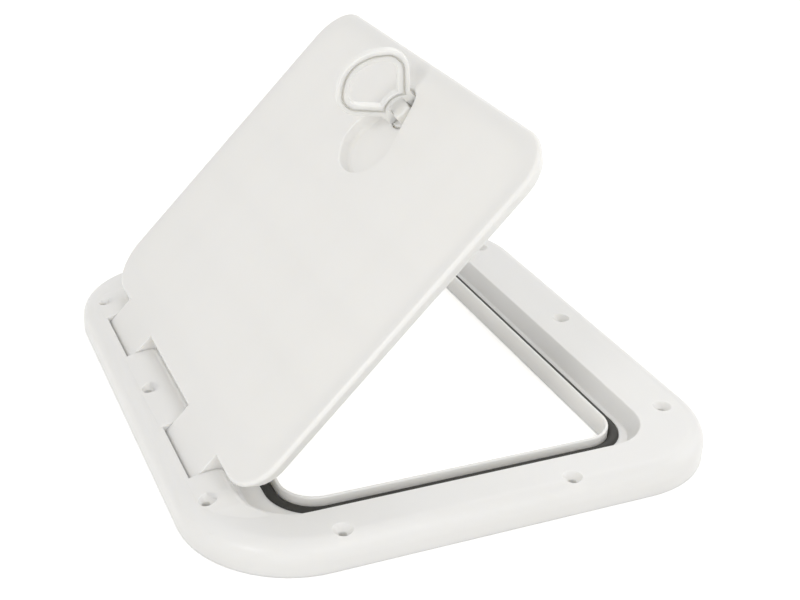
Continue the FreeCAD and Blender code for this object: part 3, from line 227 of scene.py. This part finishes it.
# %% Black rubber
PORE_SIZE = 1400.0
DUST_SIZE = 60.0


def rubber():
    """Dull black rubber with fine pores and a film of dust."""
    material, tree, shader, place = start_material("soft_rubber", IOR=1.5)
    link = tree.links.new
    pores = add_node(tree, "ShaderNodeTexNoise", (-600, -200), Scale=PORE_SIZE, Detail=3.0)
    dust = add_node(tree, "ShaderNodeTexNoise", (-600, 200), Scale=DUST_SIZE, Detail=5.0)
    colour = add_node(tree, "ShaderNodeMix", (0, 200))
    colour.data_type = "RGBA"
    colour.inputs["A"].default_value = srgb(40, 40, 38)
    colour.inputs["B"].default_value = srgb(58, 57, 53)
    dull = add_node(tree, "ShaderNodeMapRange", (0, 0), To_Min=0.55, To_Max=0.75)
    bump = add_node(tree, "ShaderNodeBump", (0, -200), Strength=0.6, Distance=0.0001)
    link(place.outputs["Object"], pores.inputs["Vector"])
    link(place.outputs["Object"], dust.inputs["Vector"])
    link(dust.outputs["Fac"], colour.inputs["Factor"])
    link(colour.outputs["Result"], shader.inputs["Base Color"])
    link(dust.outputs["Fac"], dull.inputs["Value"])
    link(dull.outputs["Result"], shader.inputs["Roughness"])
    link(pores.outputs["Fac"], bump.inputs["Height"])
    link(bump.outputs["Normal"], shader.inputs["Normal"])
    return material


black_rubber = rubber()
print("rubber:", black_rubber.name)

# %% [markdown]
# The pins, washers and screw are turned stainless steel. Turning leaves fine lines, which are a
# noise that is stretched along one direction, and they stir the gloss more than they stir the shape.

# %% Turned stainless steel
TURNING_LINES = (4000.0, 300.0, 4000.0)


def stainless():
    """Turned stainless steel with fine lines."""
    material, tree, shader, place = start_material(
        "turned_steel", Metallic=1.0, Base_Color=srgb(205, 205, 203))
    link = tree.links.new
    stretch = add_node(tree, "ShaderNodeMapping", (-700, 0))
    stretch.inputs["Scale"].default_value = TURNING_LINES
    lines = add_node(tree, "ShaderNodeTexNoise", (-450, 0), Scale=1.0, Detail=2.0)
    gloss = add_node(tree, "ShaderNodeMapRange", (-100, 0), To_Min=0.2, To_Max=0.42)
    bump = add_node(tree, "ShaderNodeBump", (0, -250), Strength=0.25, Distance=0.00003)
    link(place.outputs["Object"], stretch.inputs["Vector"])
    link(stretch.outputs["Vector"], lines.inputs["Vector"])
    link(lines.outputs["Fac"], gloss.inputs["Value"])
    link(gloss.outputs["Result"], shader.inputs["Roughness"])
    link(lines.outputs["Fac"], bump.inputs["Height"])
    link(bump.outputs["Normal"], shader.inputs["Normal"])
    return material


steel = stainless()
print("metal:", steel.name)

# %% [markdown]
# Each solid knows its finish by the name of its material slot in the record, so a table from slot
# to material dresses all the pieces, and a piece that is added later can't be forgotten.

# %% Dress the pieces
FINISHES = {
    "white_moulding": white_moulding,
    "white_hub": white_hub,
    "black_rubber": black_rubber,
    "stainless": steel,
    "dark_nylon": black_nylon,
}
for entry in frame["record"]["subparts"]:
    materials = nodes[entry["node"]].data.materials
    materials.clear()
    materials.append(FINISHES[entry["material_slot"]])
    print(entry["node"], "->", FINISHES[entry["material_slot"]].name)

# %% [markdown]
# The picture that this follows was taken from a low three-quarter view, near side left, with the
# camera turned by a few degrees about its own line of sight. The camera is placed by the point that
# it looks at, two angles, the turn and the distance, which are easier to judge than coordinates.

# %% Camera
LOOK_AT = Vector((0.07026, 0.10916, 0.0))
AZIMUTH = math.radians(-24.73)
ELEVATION = math.radians(26.57)
TURN = math.radians(2.51)
DISTANCE = 1.1127

camera_data = bpy.data.cameras.new("camera")
camera_data.sensor_width = 36.0
camera_data.lens = 59.42
camera = bpy.data.objects.new("camera", camera_data)
bpy.context.scene.collection.objects.link(camera)
back = Vector((math.sin(AZIMUTH) * math.cos(ELEVATION),
               -math.cos(AZIMUTH) * math.cos(ELEVATION),
               math.sin(ELEVATION)))
right = (-back).cross(Vector((0, 0, 1))).normalized()
up = right.cross(-back)
turned_right = right * math.cos(TURN) + up * math.sin(TURN)
turned_up = up * math.cos(TURN) - right * math.sin(TURN)
axes = Matrix((turned_right, turned_up, back)).transposed()
camera.matrix_world = Matrix.Translation(LOOK_AT + back * DISTANCE) @ axes.to_4x4()
bpy.context.scene.camera = camera
print("camera at", tuple(round(v, 3) for v in camera.matrix_world.translation))

# %% [markdown]
# The hatch is white on white, so its shape shows only by soft shade. The floor is plain and pale: it
# takes the object's shadow as a matt surface does. To the camera, and in reflections, it adds a
# little light of its own, which lifts the bare floor to white. What bounces off the floor on to the
# hatch goes by other rays, so the lift reaches the hatch as gloss only. The light path node tells
# the rays apart, and it stays in the material and in the world, so one helper adds it to either.

# %% Floor
FLOOR_LIFT = 0.46
FLOOR_SIZE = 12.0
FLOOR_GAP = 0.0004


def looking_rays(tree, x, y):
    """A socket that is 1 for rays from the camera, off gloss or through glass, and else 0."""
    path = add_node(tree, "ShaderNodeLightPath", (x - 450, y))
    looking = path.outputs["Is Camera Ray"]
    for step, ray in enumerate(("Is Glossy Ray", "Is Transmission Ray")):
        either = add_node(tree, "ShaderNodeMath", (x - 250 + 170 * step, y))
        either.operation = "MAXIMUM"
        tree.links.new(looking, either.inputs[0])
        tree.links.new(path.outputs[ray], either.inputs[1])
        looking = either.outputs["Value"]
    return looking


def floor_material():
    """Pale matt floor that looks white to the camera and keeps shadows."""
    material = bpy.data.materials.new("pale_floor")
    material.use_nodes = True
    tree = material.node_tree
    tree.nodes.clear()
    output = add_node(tree, "ShaderNodeOutputMaterial", (600, 0))
    matt = add_node(tree, "ShaderNodeBsdfDiffuse", (0, 100), Color=(0.88, 0.875, 0.86, 1))
    glow = add_node(tree, "ShaderNodeEmission", (0, -100), Color=(1, 1, 0.995, 1))
    gain = add_node(tree, "ShaderNodeMath", (-150, -250))
    gain.operation = "MULTIPLY"
    gain.inputs[1].default_value = FLOOR_LIFT
    both = add_node(tree, "ShaderNodeAddShader", (300, 0))
    link = tree.links.new
    link(looking_rays(tree, -350, -250), gain.inputs[0])
    link(gain.outputs["Value"], glow.inputs["Strength"])
    link(matt.outputs["BSDF"], both.inputs[0])
    link(glow.outputs["Emission"], both.inputs[1])
    link(both.outputs["Shader"], output.inputs["Surface"])
    return material


bpy.ops.mesh.primitive_plane_add(size=FLOOR_SIZE, location=(0, 0, cad_box[0].z - FLOOR_GAP))
floor = bpy.context.object
floor.name = "floor"
floor.data.materials.append(floor_material())
print("floor", FLOOR_SIZE, "m wide")

# %% [markdown]
# The world is an even white to the camera and in gloss, and it lights the hatch at a lower level.
# The key lamp stands to the left and a little above, because the ring throws its shadow on the lid
# to the upper right. A broad lamp on the near side lights the walls that face the camera, a low one
# reaches under the lid into the opening, and two on the far and the latch side keep the flange
# behind the lid from going grey. All are weak, so that a white piece stays just short of white.

# %% Light
WORLD_LEVEL = 0.705


def studio_world():
    """An even surround that looks white and gives its light at a lower level."""
    world = bpy.data.worlds.new("studio")
    world.use_nodes = True
    tree = world.node_tree
    tree.nodes.clear()
    surface = add_node(tree, "ShaderNodeOutputWorld", (600, 0))
    even = add_node(tree, "ShaderNodeBackground", (100, 100),
                    Color=(1.0, 0.995, 0.985, 1), Strength=WORLD_LEVEL)
    white = add_node(tree, "ShaderNodeBackground", (100, -100), Color=(1, 1, 1, 1), Strength=1.0)
    pick = add_node(tree, "ShaderNodeMixShader", (350, 0))
    tree.links.new(looking_rays(tree, -100, 0), pick.inputs["Fac"])
    tree.links.new(even.outputs["Background"], pick.inputs[1])
    tree.links.new(white.outputs["Background"], pick.inputs[2])
    tree.links.new(pick.outputs["Shader"], surface.inputs["Surface"])
    return world


def soft_lamp(name, power, width, place, aim):
    """A broad square lamp that is aimed at a point."""
    data = bpy.data.lights.new(name, "AREA")
    data.energy = power
    data.size = width
    lamp = bpy.data.objects.new(name, data)
    bpy.context.scene.collection.objects.link(lamp)
    lamp.location = place
    lamp.rotation_euler = (Vector(aim) - Vector(place)).to_track_quat("-Z", "Y").to_euler()
    print(name, power, "W")


bpy.context.scene.world = studio_world()
soft_lamp("key", 6.9, 0.5, (-1.65, -1.0, 1.3), (0.0, 0.0, 0.1))
soft_lamp("near side", 5.2, 1.2, (0.4, -1.7, 1.3), (0.0, 0.0, 0.0))
soft_lamp("low near side", 2.5, 1.0, (-0.9, -1.7, 0.5), (0.0, 0.0, 0.0))
soft_lamp("far side", 5.2, 1.2, (1.2, 1.0, 1.5), (0.05, 0.05, 0.0))
soft_lamp("latch side", 3.2, 1.0, (1.6, -0.2, 0.8), (0.05, 0.0, 0.0))

# %% [markdown]
# A plain view transform shows colours as they are written.

# %% Finish
bpy.context.scene.view_settings.view_transform = "Standard"
